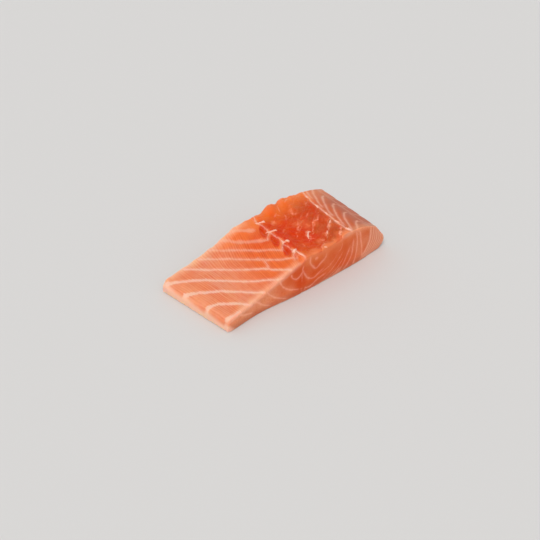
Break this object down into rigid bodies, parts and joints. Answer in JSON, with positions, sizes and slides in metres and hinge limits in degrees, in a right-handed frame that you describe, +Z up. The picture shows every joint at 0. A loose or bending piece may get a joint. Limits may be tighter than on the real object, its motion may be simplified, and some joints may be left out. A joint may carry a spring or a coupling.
{
  "type": "raw salmon fillet portion",
  "caption": "Raw salmon fillet portion cut across the side: thin belly end, torn middle where pin bones were pulled, thick dorsal end, flat underside.",
  "frame": {"origin": "middle of the footprint, on the underside", "axes": "+X from the thin belly end to the thick dorsal end, +Y from the front cut to the back cut, +Z up from the underside"},
  "size_m": [0.1546, 0.0598, 0.0296],
  "materials": {
    "salmon_flesh": "moist raw orange flesh with pale septa and a pale fat margin"
  },
  "bodies": {
    "root": {"salmon_fillet": "salmon_flesh"}
  },
  "joints": []
}
